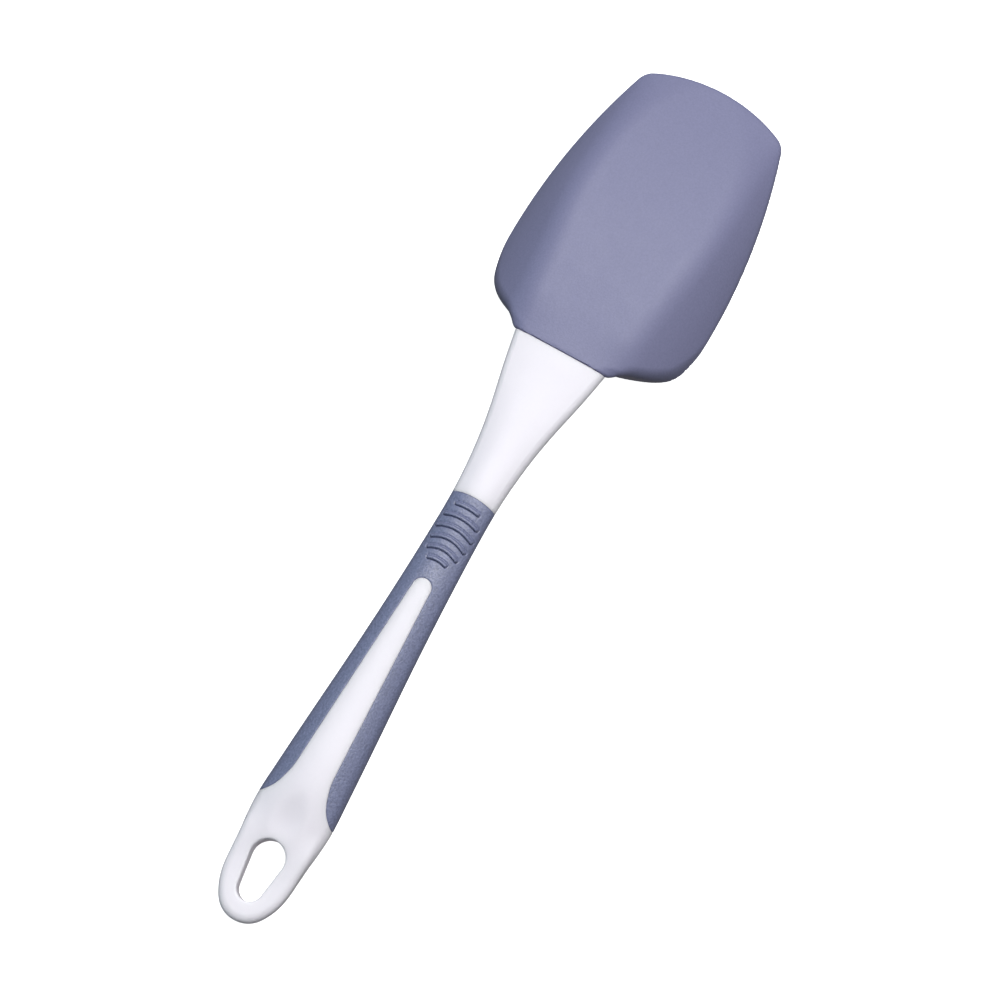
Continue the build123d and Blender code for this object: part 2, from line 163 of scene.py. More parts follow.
def curve(points, start_slope=None, end_slope=None):
    """A smooth function through the points: a cubic spline, straight beyond its ends."""
    x, y = np.array(points, float).T
    n = len(x)
    gap, rise = np.diff(x), np.diff(y)
    slope = rise / gap
    first = slope[0] if start_slope is None else start_slope
    last = slope[-1] if end_slope is None else end_slope
    system, right_side = np.zeros((n, n)), np.zeros(n)
    system[0, 0] = system[-1, -1] = 1
    right_side[0], right_side[-1] = first, last
    for i in range(1, n - 1):
        system[i, i - 1:i + 2] = gap[i], 2 * (gap[i - 1] + gap[i]), gap[i - 1]
        right_side[i] = 3 * (gap[i] * slope[i - 1] + gap[i - 1] * slope[i])
    tangent = np.linalg.solve(system, right_side)

    def value(at):
        i = np.clip(np.searchsorted(x, at) - 1, 0, n - 2)
        t = np.clip((at - x[i]) / gap[i], 0, 1)
        beyond = at - np.clip(at, x[0], x[-1])
        hermite = (y[i] * (1 + 2 * t) * (1 - t)**2 + tangent[i] * gap[i] * t * (1 - t)**2
                   + y[i + 1] * t * t * (3 - 2 * t) + tangent[i + 1] * gap[i] * t * t * (t - 1))
        return hermite + beyond * np.where(beyond < 0, first, last)

    return value


def both(a, b, blend):
    """Inside both fields, with the edge between them blended over that distance."""
    near = np.maximum(blend - np.abs(a - b), 0) / blend
    return np.maximum(a, b) + near * near * blend / 4


def either(a, b, blend):
    """Inside either field, with the corner between them filled over that distance."""
    return -both(-a, -b, blend)


def rounded(a, b, radius):
    """Inside both fields, with a rounded edge."""
    corner = np.hypot(np.maximum(a + radius, 0), np.maximum(b + radius, 0))
    return np.minimum(np.maximum(a, b), -radius) + corner


def skin(field, low, high, step):
    """The closed surface where the field is zero, as corners and quads of one even size."""
    counts = [int((h - l) / step) + 2 for l, h in zip(low, high)]
    axes = [l + step * np.arange(n) for l, n in zip(low, counts)]
    x, y, z = np.meshgrid(*axes, indexing="ij")
    value = field(x, y, z)
    inside = value < 0
    cells = [n - 1 for n in counts]
    offsets = [(i, j, k) for i in (0, 1) for j in (0, 1) for k in (0, 1)]
    corner_inside = [inside[i:i + cells[0], j:j + cells[1], k:k + cells[2]] for i, j, k in offsets]
    total = sum(c.astype(np.int8) for c in corner_inside)
    active = np.argwhere((total > 0) & (total < 8))
    index = np.full(cells, -1)
    index[tuple(active.T)] = np.arange(len(active))
    position, hits = np.zeros((len(active), 3)), np.zeros(len(active))
    for a in offsets:
        for axis in range(3):
            if a[axis]:
                continue
            b = tuple(1 if n == axis else a[n] for n in range(3))
            va = value[tuple((active + a).T)]
            vb = value[tuple((active + b).T)]
            crossed = (va < 0) != (vb < 0)
            t = np.where(crossed, va / np.where(crossed, va - vb, 1), 0)
            point = active + np.array(a) + t[:, None] * (np.array(b) - np.array(a))
            position += np.where(crossed[:, None], point, 0)
            hits += crossed
    corners = np.array(low) + step * position / hits[:, None]
    quads = []
    for axis in range(3):
        u, v = (axis + 1) % 3, (axis + 2) % 3
        first, second = [slice(None)] * 3, [slice(None)] * 3
        first[axis], second[axis] = slice(0, -1), slice(1, None)
        change = np.argwhere(inside[tuple(first)] != inside[tuple(second)])
        around = []
        for du, dv in ((0, 0), (1, 0), (1, 1), (0, 1)):
            cell = change.copy()
            cell[:, u] -= du
            cell[:, v] -= dv
            around.append(index[tuple(cell.T)])
        ring = np.stack(around, 1)
        leaving = inside[tuple(change.T)]
        quads.append(np.where(leaving[:, None], ring, ring[:, ::-1]))
    return corners, np.concatenate(quads)


PULL_ROUNDS = 3
NUDGE_SHARE = 1 / 20         # of a step, to feel the field's slope
LEAST_SLOPE_SQUARE = 0.2     # keeps the corners from running off where the field is flat


def pulled(corners, field, step):
    """The corners drawn onto the field's surface."""
    nudge = step * NUDGE_SHARE
    for _ in range(PULL_ROUNDS):
        x, y, z = corners.T
        value = field(x, y, z)
        gradient = np.stack([
            field(x + nudge, y, z) - field(x - nudge, y, z),
            field(x, y + nudge, z) - field(x, y - nudge, z),
            field(x, y, z + nudge) - field(x, y, z - nudge),
        ], 1) / (2 * nudge)
        square = np.maximum((gradient**2).sum(1), LEAST_SLOPE_SQUARE)
        move = np.clip(value / square, -step / 2, step / 2)[:, None] * gradient
        corners = corners - move
    return corners


def piece(name, corners, faces, place=None):
    """A mesh object from corners in mm, set in the row frame by place."""
    mesh = bpy.data.meshes.new(name)
    mesh.from_pydata((np.asarray(corners) * MM).tolist(), [], [list(face) for face in faces])
    mesh.validate()
    made = bpy.data.objects.new(name, mesh)
    bpy.context.scene.collection.objects.link(made)
    if place is not None:
        mesh.transform(place)
    mesh.shade_smooth()
    return made


# Head, with x from the seam towards the tip and z up from the surface

# Share of the head's length; of the height from tip edge to neck top; of the width that is flat;
# of the socket's depth that is solid
HEAD_FORM_SHARES = [(-0.06, 1.0, 0.48, 1.0), (0.1, 0.993, 0.52, 1.0), (0.28, 0.945, 0.565, 0.9),
                    (0.46, 0.825, 0.645, 0.68), (0.64, 0.62, 0.695, 0.42), (0.82, 0.36, 0.72, 0.26),
                    (1.04, -0.02, 0.7, 0.15)]
head_height = curve([(way, height) for way, height, _, _ in HEAD_FORM_SHARES])
head_flat = curve([(way, flat) for way, _, flat, _ in HEAD_FORM_SHARES])
head_solid = curve([(way, solid) for way, _, _, solid in HEAD_FORM_SHARES])
# Share of the way from heel to widest place, share of the widening
SHOULDER_SHARES = [(0.16, 0.565), (0.45, 0.895)]
# Points on each stretch of the rim's outline, closer together where the shoulder begins
HEEL_POINTS = 24
SHOULDER_POINTS = 60
SHOULDER_CROWDING = 1.6
SIDE_POINTS = 50
CORNER_POINTS = 16
TIP_POINTS = 40
side_centre = Vector((WIDEST_X, half_head - SIDE_BOW_RADIUS))
tip_centre = Vector((head_length - TIP_BOW_RADIUS, 0))


def side_half_width(x):
    """Half width of the head's long edges, an arc that is widest at WIDEST_X."""
    return side_centre.y + np.sqrt(SIDE_BOW_RADIUS**2 - (x - WIDEST_X)**2)


def arc(centre, radius, start, end, steps):
    """Points along an arc, angles in radians."""
    return [(centre[0] + radius * cos(angle), centre[1] + radius * sin(angle))
            for angle in np.linspace(start, end, steps)]


def angle_at(centre, point):
    return atan2(point[1] - centre[1], point[0] - centre[0])


def rim_points():
    """One half of the rim's outline, from the middle of the heel to the middle of the tip."""
    heel_end = Vector((HEEL_X + HEEL_SWEEP, HEEL_WIDTH / 2))
    heel_radius = (heel_end.y**2 + HEEL_SWEEP**2) / (2 * HEEL_SWEEP)
    heel_centre = Vector((HEEL_X + heel_radius, 0))
    shoulder = curve(
        [tuple(heel_end)]
        + [(heel_end.x + way * (WIDEST_X - heel_end.x), heel_end.y + widening * (half_head - heel_end.y))
           for way, widening in SHOULDER_SHARES]
        + [(WIDEST_X, half_head)],
        heel_end.y / (2 * HEEL_SWEEP), 0)
    shoulder_ways = np.linspace(0, 1, SHOULDER_POINTS)**SHOULDER_CROWDING
    between = tip_centre - side_centre
    side_reach = SIDE_BOW_RADIUS - TIP_CORNER_RADIUS
    tip_reach = TIP_BOW_RADIUS - TIP_CORNER_RADIUS
    distance = between.length
    along = (distance**2 + side_reach**2 - tip_reach**2) / (2 * distance)
    aside = sqrt(side_reach**2 - along**2)
    unit = between / distance
    corner_centre = side_centre + along * unit + aside * Vector((unit.y, -unit.x))
    side_end = angle_at(side_centre, corner_centre)
    tip_start = angle_at(tip_centre, corner_centre)
    points = arc(heel_centre, heel_radius, pi, angle_at(heel_centre, heel_end), HEEL_POINTS)[:-1]
    points += [(x, float(shoulder(x))) for x in heel_end.x + (WIDEST_X - heel_end.x) * shoulder_ways]
    points += arc(side_centre, SIDE_BOW_RADIUS, pi / 2, side_end, SIDE_POINTS)[1:]
    points += arc(corner_centre, TIP_CORNER_RADIUS, side_end, tip_start, CORNER_POINTS)[1:-1]
    points += arc(tip_centre, TIP_BOW_RADIUS, tip_start, 0, TIP_POINTS)
    return points


TABLE_STEP = 0.25
TABLE_MARGIN = 5.0
TINY = 0.001
TWIN_POINTS = 3              # how many of the other half's points close the outline at each end


def outside_of(points):
    """The distance outside an outline that is alike on both sides of y = 0, kept as a table."""
    points = np.array(points)
    twin = np.array((1, -1))
    points = np.concatenate([
        points[TWIN_POINTS:0:-1] * twin,
        points,
        points[-2:-2 - TWIN_POINTS:-1] * twin,
    ])
    start, along = points[:-1], np.diff(points, axis=0)
    square = (along**2).sum(1)
    low = points.min(0) - TABLE_MARGIN
    low[1] = -TABLE_STEP
    high = points.max(0) + TABLE_MARGIN
    xs = np.arange(low[0], high[0], TABLE_STEP)
    ys = np.arange(low[1], high[1], TABLE_STEP)
    table = np.empty((len(xs), len(ys)))
    for i, x in enumerate(xs):
        to_x = x - start[:, 0]
        to_y = ys[:, None] - start[:, 1]
        share = np.clip((to_x * along[:, 0] + to_y * along[:, 1]) / square, 0, 1)
        apart = np.hypot(to_x - share * along[:, 0], to_y - share * along[:, 1])
        nearest = apart.argmin(1)
        rows = np.arange(len(ys))
        turn = along[nearest, 0] * to_y[rows, nearest] - along[nearest, 1] * to_x[nearest]
        table[i] = np.where(turn > 0, 1, -1) * apart[rows, nearest]

    def value(x, y):
        u = np.clip((x - low[0]) / TABLE_STEP, 0, len(xs) - 1 - TINY)
        v = np.clip((np.abs(y) - low[1]) / TABLE_STEP, 0, len(ys) - 1 - TINY)
        i, j = u.astype(int), v.astype(int)
        u, v = u - i, v - j
        return ((table[i, j] * (1 - u) + table[i + 1, j] * u) * (1 - v)
                + (table[i, j + 1] * (1 - u) + table[i + 1, j + 1] * u) * v)

    return value


rim = outside_of(rim_points())


def smooth_share(value, low, high):
    """Rises softly from 0 at low to 1 at high."""
    share = np.clip((value - low) / (high - low), 0, 1)
    return share * share * (3 - 2 * share)


def crown_of(half_width, half_height, side_radius):
    """Radius of the flat arc over an oval."""
    reach = half_width - side_radius
    return (reach**2 + half_height**2 - side_radius**2) / (2 * (half_height - side_radius))


half_seam = SEAM_WIDTH / 2
half_neck = SEAM_THICKNESS / 2
neck_side_radius = SIDE_ROUND_SHARE * half_neck
neck_crown = crown_of(half_seam, half_neck, neck_side_radius)


def head_back(x, y, z, inner):
    """The back with its flat middle and two sloping sides, or the hollow's roof under it."""
    way = x / head_length
    top = TIP_THICKNESS + head_height(way) * (head_top - TIP_THICKNESS)
    half_base = side_half_width(x) + RIM_LAND / 3
    slope_width = half_base - head_flat(way) * side_half_width(x)
    steepness = (top - RIM_LAND) / slope_width
    land = RIM_LAND
    bulge = SIDE_BULGE * np.clip(top / head_top, 0, 1)
    if inner:
        steepness = top / slope_width
        top = top - head_solid(way) * SOCKET_DEPTH
        half_base = half_base - RIM_THICKNESS
        land = 0.0
    down = np.clip((z - land) / np.maximum(top - land, 1), 0, 1)
    side = ((np.abs(y) - half_base) * steepness + z - land) / np.sqrt(1 + steepness**2)
    side = side - 4 * bulge * down * (1 - down)
    crown = y * y / (2 * neck_crown) * (1 - smooth_share(x, 0, CROWN_FADE))
    return both(z - top + crown, side, CREASE_BLEND)


def neck_slab(x, y, z):
    """The end of the neck's section, spread out into the head."""
    spread_share = np.tanh(NECK_FLARE * np.maximum(x, 0) / NECK_SPREAD)
    slope = NECK_FLARE * (1 - spread_share**2)
    side = (np.abs(y) - half_seam - NECK_SPREAD * spread_share) / np.hypot(1, slope)
    under = seam_z - half_neck + y * y / (2 * neck_crown) - z
    return rounded(side, under, neck_side_radius)


def head_field(x, y, z):
    """The silicone scoop, still without its socket."""
    lean_x = x + HEEL_LEAN * z / seam_z
    edge_of_rim = rim(lean_x, y)
    outline = either(edge_of_rim, neck_slab(x, y, z), NECK_BLEND)
    at_heel = 1 - smooth_share(x, SHOULDER_END / 3, SHOULDER_END)
    at_neck = 1 - smooth_share(x, 0, HEEL_X)
    edge = EDGE_ROUND + at_heel * (SHOULDER_ROUND - EDGE_ROUND)
    edge = edge + at_neck * (neck_side_radius - SHOULDER_ROUND)
    solid = rounded(head_back(x, y, z, False), outline, edge)
    solid = rounded(solid, -z, RIM_ROUND)
    solid = rounded(solid, SEAM_FACE_X - x, SEAM_ROUND)
    wall = RIM_THICKNESS + at_heel * (HEEL_WALL - RIM_THICKNESS)
    hollow = rounded(head_back(x, y, z, True), edge_of_rim + wall, RIM_THICKNESS)
    return rounded(solid, -hollow, RIM_ROUND)


def tongue_prism(grow):
    """Corners and faces of the socket: a tapered tongue, flat underneath."""
    root_top = head_top - TONGUE_DEPTH
    under = root_top - TONGUE_ROOT_THICKNESS - grow
    end = TONGUE_LENGTH + grow
    start = -SOCKET_OVERRUN
    half_root, half_tip = TONGUE_WIDTH / 2 + grow, TONGUE_TIP_WIDTH / 2 + grow
    radius = TONGUE_TIP_RADIUS + grow
    plan = [(start, half_root), (0.0, half_root)]
    lean = (half_root - half_tip) / end
    for i in range(TONGUE_TIP_POINTS + 1):
        angle = radians(90 - 90 * i / TONGUE_TIP_POINTS)
        plan.append((end - radius + radius * cos(angle),
                     half_tip + lean * radius - radius + radius * sin(angle)))
    plan = plan + [(x, -y) for x, y in reversed(plan)]
    fall = (root_top + grow - (under + TONGUE_TIP_THICKNESS + 2 * grow)) / end
    n = len(plan)
    corners = [(x, y, under) for x, y in plan]
    corners += [(x, y, root_top + grow - max(x, 0) * fall) for x, y in plan]
    upper = list(range(n, 2 * n))
    faces = [list(range(n))[::1], upper[::-1]]
    faces += [[i, n + i, n + (i + 1) % n, (i + 1) % n] for i in range(n)]
    return corners, faces


def cut(obj, cutter):
    """The object without the cutter's space."""
    change = obj.modifiers.new("cut", "BOOLEAN")
    change.operation = "DIFFERENCE"
    change.solver = "EXACT"
    change.object = cutter
    graph = bpy.context.evaluated_depsgraph_get()
    done = bpy.data.meshes.new_from_object(obj.evaluated_get(graph))
    obj.modifiers.clear()
    old = obj.data
    obj.data = done
    bpy.data.meshes.remove(old)
    bpy.data.objects.remove(cutter)


def outward(obj):
    """Turns the faces of a cutter outward."""
    mesh = bmesh.new()
    mesh.from_mesh(obj.data)
    bmesh.ops.recalc_face_normals(mesh, faces=mesh.faces)
    mesh.to_mesh(obj.data)
    mesh.free()
    return obj


# Size of the head's faces, and room round it for the field, in mm
HEAD_STEP = 0.5
HEAD_ROOM = 1.0
HEAD_ROOM_BEHIND = 1.5
HEAD_SHARP_ANGLE = radians(40)
HANDLE_SHARP_ANGLE = radians(50)
head_place = Matrix.Translation((seam_row_x * MM, 0, 0))


def head_piece():
    low = (-HEAD_ROOM_BEHIND, -half_head - HEAD_ROOM, -HEAD_ROOM)
    high = (head_length + HEAD_ROOM, half_head + HEAD_ROOM, head_top + HEAD_ROOM)
    corners, faces = skin(head_field, low, high, HEAD_STEP)
    corners = pulled(corners, head_field, HEAD_STEP)
    made = piece("head_shell", corners, faces)
    cut(made, outward(piece("socket", *tongue_prism(SOCKET_CLEARANCE))))
    made.data.transform(head_place)
    made.data.shade_smooth()
    made.data.set_sharp_from_angle(angle=HEAD_SHARP_ANGLE)
    return made


def oval(y, z, half_width, half_height, side_radius):
    """Distance outside an oval of four tangent arcs."""
    reach = half_width - side_radius
    crown_radius = crown_of(half_width, half_height, side_radius)
    drop = crown_radius - half_height
    y, z = np.abs(y), np.abs(z)
    crown = reach * z > drop * (y - reach)
    return np.where(crown, np.hypot(y, z + drop) - crown_radius, np.hypot(y - reach, z) - side_radius)


# Grip

# Place, half width and half thickness of the handle's oval behind the grip
LOOP_FORM = [(OVAL_START, 11.25, 3.5), (27.4, 12.15, 4.75)]
# Share of the way from the grip's start to the waist, of the widening, of the swelling
GRIP_FORM_SHARES = [(0.0, 1.0, 0.62), (0.07, 0.935, 0.92), (0.14, 0.85, 1.0), (0.32, 0.62, 0.82),
                    (0.52, 0.355, 0.55), (0.72, 0.152, 0.29), (0.9, 0.028, 0.07)]
# Share of the way from the waist to the seam, of the widening, of the thinning
NECK_FORM_SHARES = [(0.0, 0.0, 0.0), (0.14, 0.025, 0.14), (0.3, 0.115, 0.32), (0.48, 0.285, 0.5),
                    (0.64, 0.5, 0.68), (0.8, 0.745, 0.85), (1.0, 1.0, 1.0)]
stations = list(LOOP_FORM)
for way, widening, swelling in GRIP_FORM_SHARES:
    stations.append((GRIP_START + way * (WAIST_START - GRIP_START),
                     WAIST_WIDTH / 2 + widening * (GRIP_WIDTH - WAIST_WIDTH) / 2,
                     (WAIST_THICKNESS + swelling * (GRIP_THICKNESS - WAIST_THICKNESS)) / 2))
for way, widening, thinning in NECK_FORM_SHARES:
    stations.append((WAIST_START + way * (HANDLE_LENGTH - WAIST_START),
                     WAIST_WIDTH / 2 + widening * (SEAM_WIDTH - WAIST_WIDTH) / 2,
                     (WAIST_THICKNESS + thinning * (SEAM_THICKNESS - WAIST_THICKNESS)) / 2))
handle_half_width = curve([(x, w) for x, w, _ in stations])
handle_half_height = curve([(x, h) for x, _, h in stations])
# Share of the way from the grip's start to the strip's straight part, share of its flare
STRIP_FLARE_SHARES = [(-0.14, 1.45), (0.0, 1.0), (0.2, 0.52), (0.47, 0.21), (0.73, 0.05), (1.0, 0.0)]
strip_slope = (STRIP_END_WIDTH - STRIP_WIDTH) / 2 / (STRIP_END - STRIP_END_WIDTH / 2 - STRIP_START)
strip_flare = curve([(GRIP_START + way * (STRIP_START - GRIP_START),
                      (STRIP_WIDTH + flare * (GRIP_WIDTH - STRIP_WIDTH)) / 2)
                     for way, flare in STRIP_FLARE_SHARES], None, strip_slope)


def handle_outside(x, y, z):
    """Distance outside the handle's oval sections."""
    half_width, half_height = handle_half_width(x), handle_half_height(x)
    return oval(y, z, half_width, half_height, SIDE_ROUND_SHARE * half_height)


def strip(x, y):
    """Distance outside the white strip, seen from above."""
    straight_end = STRIP_END - STRIP_END_WIDTH / 2
    half = strip_flare(x)
    steepness = np.clip((STRIP_START - x) / (STRIP_START - GRIP_START), 0, 1)
    side = (np.abs(y) - half) / np.sqrt(1 + STRIP_SLANT * steepness**STRIP_SLANT_POWER)
    end = np.hypot(x - straight_end, y) - STRIP_END_WIDTH / 2
    return np.where(x > straight_end, end, side)


def ribs(x, y):
    """How far the ribs stand proud of the grip: steep behind the crest, gentler in front of it."""
    proud = np.zeros_like(x)
    for i, length in enumerate(RIB_LENGTH_SHARES):
        place = RIB_FIRST + i / (len(RIB_LENGTH_SHARES) - 1) * (RIB_LAST - RIB_FIRST)
        flattening = ((place - RIB_FIRST) / (GRIP_END - RIB_FIRST))**2
        bow = RIB_BOW_RADIUS + flattening * (GRIP_END_BOW_RADIUS - RIB_BOW_RADIUS)
        centre = place - bow
        half_angle = (length * RIB_LONGEST / 2 - RIB_BACK) / bow
        angle = np.arctan2(y, x - centre)
        beyond = np.maximum(np.abs(angle) - half_angle, 0) * bow
        ahead = np.hypot(x - centre, y) - bow - RIB_CREST_OFFSET
        reach = np.where(ahead > 0, RIB_FRONT, RIB_BACK)
        way = np.hypot(ahead / reach, beyond / RIB_BACK)
        rise = RIB_HEIGHT * np.sqrt(np.clip(1 - way**2, 0, 1))
        groove = RIB_GROOVE * np.exp(-((way - RIB_GROOVE_SHARE) / RIB_GROOVE_SOFTNESS)**2)
        proud = np.where(way < RIB_INFLUENCE, rise - groove, proud)
    return proud


def grip_field(x, y, z):
    """The soft layer with its ribs, open along the strip."""
    outside = handle_outside(x, y, z)
    front = np.hypot(x - GRIP_END + GRIP_END_BOW_RADIUS, y) - GRIP_END_BOW_RADIUS
    front = np.where(x < GRIP_END - GRIP_END_BOW_RADIUS, -GRIP_END_BOW_RADIUS, front)
    plan = np.maximum(front, -strip(x, y))
    plan = np.maximum(plan, GRIP_START - GRIP_HIDDEN_LENGTH - x)
    outer = rounded(outside - ribs(x, y), plan, GRIP_EDGE_ROUND)
    return np.maximum(outer, -(outside + GRIP_SKIN))


# Size of the grip's and the body's faces, and room round them for the field, in mm
GRIP_STEP = 0.2
BODY_STEP = 0.35
ROOM = 1.0
GRIP_ROOM_BEHIND = 2.0
BODY_ROOM_BEHIND = 0.7
handle_place = Matrix.Translation((handle_row_x * MM, 0, axis_z * MM)) @ Matrix.Rotation(-pitch, 4, "Y")


def grip_piece():
    low = (GRIP_START - GRIP_ROOM_BEHIND, -GRIP_WIDTH / 2 - ROOM, -GRIP_THICKNESS / 2 - ROOM)
    high = (GRIP_END + ROOM, GRIP_WIDTH / 2 + ROOM, GRIP_THICKNESS / 2 + ROOM)
    corners, faces = skin(grip_field, low, high, GRIP_STEP)
    corners = pulled(corners, grip_field, GRIP_STEP)
    made = piece("grip_skin", corners, faces, handle_place)
    made.data.set_sharp_from_angle(angle=HANDLE_SHARP_ANGLE)
    return made


# Handle body: the white moulding with its loop, hole and dish

# Points on each stretch of the outlines
NOSE_POINTS = 30
LOOP_SIDE_POINTS = 90
HOLE_SMALL_POINTS = 30
HOLE_LARGE_POINTS = 40


def loop_points():
    """One half of the loop's outline, carried on along the grip."""
    nose_x, nose_y = LOOP_SIDE[0]
    side = curve(LOOP_SIDE, (LOOP_NOSE_RADIUS - nose_x) / nose_y)
    nose_centre = (LOOP_NOSE_RADIUS + LOOP_NOSE_INSET, 0)
    points = arc(nose_centre, LOOP_NOSE_RADIUS, pi, angle_at(nose_centre, LOOP_SIDE[0]), NOSE_POINTS)[:-1]
    end_x = LOOP_SIDE[-1][0]
    points += [(x, float(side(x))) for x in np.linspace(nose_x, end_x, LOOP_SIDE_POINTS)]
    return points + [(end_x + ROOM, 0)]


def hole_points():
    """One half of the egg-shaped hole's outline, round a small circle and a large one."""
    touch = acos((HOLE_SMALL_RADIUS - HOLE_LARGE_RADIUS) / (HOLE_LARGE_X - HOLE_SMALL_X))
    return (arc((HOLE_SMALL_X, 0), HOLE_SMALL_RADIUS, pi, touch, HOLE_SMALL_POINTS)
            + arc((HOLE_LARGE_X, 0), HOLE_LARGE_RADIUS, touch, 0, HOLE_LARGE_POINTS))


loop_outline = outside_of(loop_points())
hole_outline = outside_of(hole_points())
loop_rise = curve(LOOP_RISE, 0)
dish_rise = curve(DISH_RISE, 0)


def white_form(x, y, z):
    """The outer form from the loop to the grip, with the dish on both faces."""
    squeeze = LOOP_EDGE_RADIUS / LOOP_EDGE_REACH
    loop = rounded(loop_outline(x, y) * squeeze, np.abs(z) - loop_rise(x), LOOP_EDGE_RADIUS)
    grown = smooth_share(x, OVAL_START, OVAL_END)
    form = loop * (1 - grown) + handle_outside(np.maximum(x, OVAL_START), y, z) * grown
    dish = np.abs(z) - dish_rise(np.hypot(x - DISH_X, y))
    return both(form, dish, DISH_BLEND)


def body_field(x, y, z):
    """The white moulding: outer form, strip, middle of the grip, hole and the tang's pocket."""
    form = white_form(x, y, z)
    white = rounded(form, strip(x, y), WHITE_EDGE_ROUND)
    solid = np.minimum(white, form + GRIP_SKIN)
    solid = rounded(solid, -hole_outline(x, y), HOLE_ROUND)
    pocket = np.maximum(np.abs(y) - TANG_WIDTH / 2, np.abs(z) - TANG_THICKNESS / 2)
    pocket = np.maximum(pocket, BODY_END - TANG_LENGTH - x) - TANG_CLEARANCE
    return np.maximum(np.maximum(solid, -pocket), x - BODY_END)


def body_piece():
    low = (-BODY_ROOM_BEHIND, -GRIP_WIDTH / 2 - ROOM, -GRIP_THICKNESS / 2 - ROOM)
    high = (BODY_END + ROOM, GRIP_WIDTH / 2 + ROOM, GRIP_THICKNESS / 2 + ROOM)
    corners, faces = skin(body_field, low, high, BODY_STEP)
    corners = pulled(corners, body_field, BODY_STEP)
    made = piece("handle_core", corners, faces, handle_place)
    made.data.set_sharp_from_angle(angle=HANDLE_SHARP_ANGLE)
    return made


head = head_piece()
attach(head, "head")
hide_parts("silicone_head")
grip = grip_piece()
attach(grip, "handle")
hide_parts("soft_grip")

white_body = body_piece()
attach(white_body, "handle")
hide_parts("handle_body")

# Camera, at the photograph's viewing angle. Lengths in metres, angles in degrees
AIM_POINT = (0.00075, -0.00627, 0.012)
CAMERA_DISTANCE = 1.304
CAMERA_AZIMUTH = -42.4       # round the object, from straight in front of it
CAMERA_ELEVATION = 76.8      # above the surface
AXIS_ANGLE = 59.53           # of the handle in the picture, from its lower edge
CAMERA_LENS = 158.0
SENSOR_WIDTH = 36.0
CLIP_START, CLIP_END = 0.01, 20.0


def camera():
    """A long lens nearly overhead, rolled so that the handle runs up to the right."""
    azimuth, elevation = radians(CAMERA_AZIMUTH), radians(CAMERA_ELEVATION)
    back = Vector((sin(azimuth) * cos(elevation), -cos(azimuth) * cos(elevation), sin(elevation)))
    along = Vector((1, 0, 0))
    along = (along - along.dot(back) * back).normalized()
    across = back.cross(along)
    roll = radians(AXIS_ANGLE)
    right = cos(roll) * along - sin(roll) * across
    up = sin(roll) * along + cos(roll) * across
    data = bpy.data.cameras.new("camera")
    data.lens = CAMERA_LENS
    data.sensor_width = data.sensor_height = SENSOR_WIDTH
    data.clip_start, data.clip_end = CLIP_START, CLIP_END
    made = bpy.data.objects.new("camera", data)
    bpy.context.scene.collection.objects.link(made)
    matrix = made.matrix_world
    for row in range(3):
        matrix[row][0], matrix[row][1], matrix[row][2] = right[row], up[row], back[row]
        matrix[row][3] = AIM_POINT[row] + CAMERA_DISTANCE * back[row]
    made.matrix_world = matrix
    bpy.context.scene.camera = made


camera()


# Materials, with sizes in metres

CLOUD_SIZE = 0.016
CLOUD_DETAIL = 3
SMEAR_SIZE = 0.005
SMEAR_DETAIL = 4
GRAIN_DETAIL = 2
NOISE_LOW, NOISE_HIGH = 0.3, 0.7     # between these lies nearly all of a noise
ROUGHNESS_SPREAD = 0.02
SILICONE_GRAIN = 0.0006
RUBBER_GRAIN = 0.0006
PLASTIC_GRAIN = 0.0009
FLOOR_GRAIN = 0.002


def node_of(tree, kind, at, **values):
    """A node of that kind, placed and set."""
    node = tree.nodes.new(kind)
    node.location = at
    for name, value in values.items():
        setattr(node, name, value)
    return node


def noise(tree, place, size, detail, at):
    """Noise whose lumps have about that size."""
    node = node_of(tree, "ShaderNodeTexNoise", at)
    node.inputs["Scale"].default_value = 1 / size
    node.inputs["Detail"].default_value = detail
    tree.links.new(place.outputs["Object"], node.inputs["Vector"])
    return node


def spread(tree, source, low, high, at):
    """The noise spread evenly over a range of values."""
    node = node_of(tree, "ShaderNodeMapRange", at)
    node.inputs["From Min"].default_value = NOISE_LOW
    node.inputs["From Max"].default_value = NOISE_HIGH
    node.inputs["To Min"].default_value = low
    node.inputs["To Max"].default_value = high
    tree.links.new(source.outputs["Fac"], node.inputs["Value"])
    return node


def toned(tree, colour, factor, at):
    """The colour made lighter or darker by a factor."""
    node = node_of(tree, "ShaderNodeVectorMath", at, operation="SCALE")
    if isinstance(colour, tuple):
        node.inputs[0].default_value = colour
    else:
        tree.links.new(colour.outputs[0], node.inputs[0])
    tree.links.new(factor.outputs["Result"], node.inputs["Scale"])
    return node


